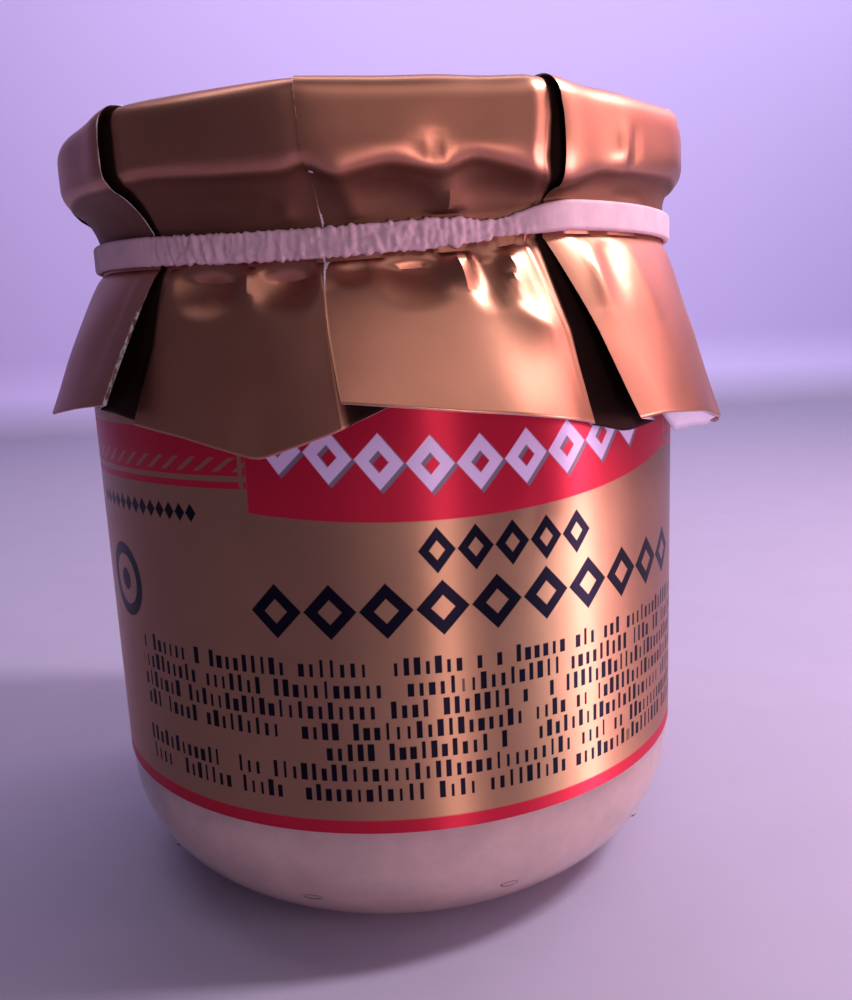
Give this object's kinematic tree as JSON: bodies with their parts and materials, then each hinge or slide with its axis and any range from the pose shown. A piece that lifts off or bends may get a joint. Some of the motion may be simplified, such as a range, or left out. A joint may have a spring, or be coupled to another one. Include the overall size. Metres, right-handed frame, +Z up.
{
  "type": "jar of mayonnaise",
  "caption": "Straight-sided glass jar of mayonnaise with a wrapped printed label, a round lid under a pleated foil cover, and an elastic band that holds the cover in.",
  "frame": {"origin": "middle of the jar's flat base, on the jar's axis", "axes": "+Z up along the jar's axis; -Y to the front, the side that the label's title faces; +X to the right seen from the front"},
  "size_m": [0.0914, 0.0923, 0.098],
  "materials": {
    "glass": "clear",
    "mayonnaise": "soft sheen",
    "label": "metallised satin with print",
    "lid": "satin",
    "foil": "copper-gold foil, satin",
    "band": "satin"
  },
  "bodies": {
    "root": {"glass_jar": "glass", "mayonnaise": "mayonnaise", "label": "label", "lid": "lid", "foil_cover": "foil", "elastic_band": "band"}
  },
  "joints": []
}
